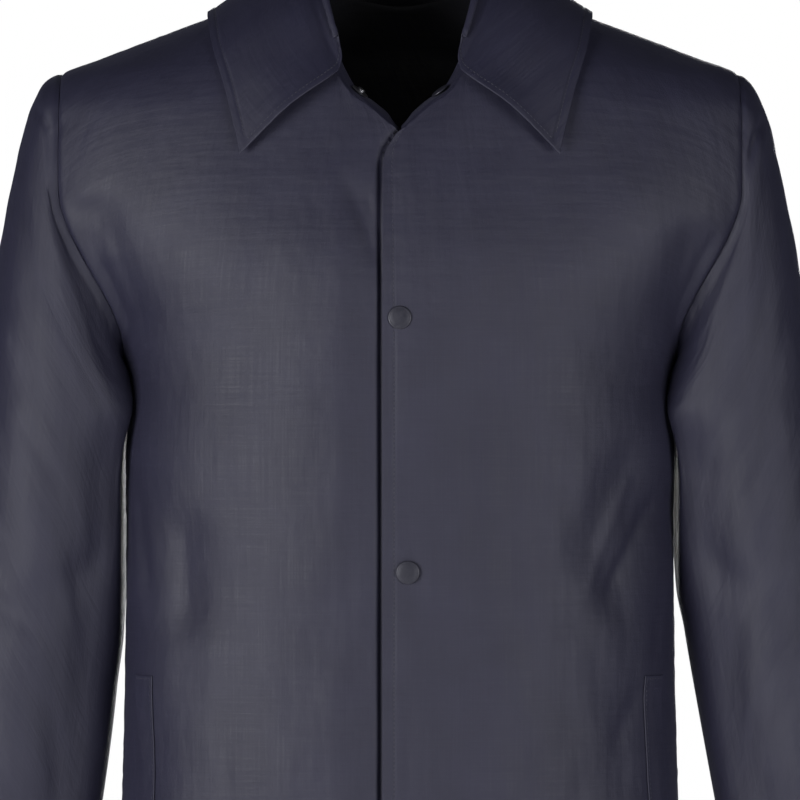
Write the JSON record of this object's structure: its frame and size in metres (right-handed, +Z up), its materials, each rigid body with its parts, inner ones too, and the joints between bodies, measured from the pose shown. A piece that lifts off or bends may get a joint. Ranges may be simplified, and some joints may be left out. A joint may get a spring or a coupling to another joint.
{
  "type": "coach jacket",
  "caption": "Hip-length nylon jacket with set-in sleeves, a turn-down point collar, welt pockets and a snap front, filled out as worn with the collar open.",
  "frame": {"origin": "midway between the high points of the two shoulders, where the jacket hangs on the wearer", "axes": "+X to the wearer's left, -Y out of the front, +Z up"},
  "size_m": [0.6897, 0.247, 0.7438],
  "materials": {
    "nylon": "plain-woven nylon with a soft sheen",
    "snap_caps": "satin navy-grey enamel",
    "snap_metal": "plated steel"
  },
  "bodies": {
    "root": {"front_left": "nylon", "front_right": "nylon", "back": "nylon", "sleeve_left": "nylon", "sleeve_right": "nylon", "collar_stand": "nylon", "collar_fall": "nylon", "welt_left": "nylon", "welt_right": "nylon", "snap_cap_1": "snap_caps", "snap_cap_2": "snap_caps", "snap_cap_3": "snap_caps", "snap_cap_top": "snap_caps", "snap_post_1": "snap_metal", "snap_post_2": "snap_metal", "snap_post_3": "snap_metal", "snap_post_top": "snap_metal", "snap_socket_top": "snap_metal", "snap_stud_top": "snap_metal"}
  },
  "joints": []
}
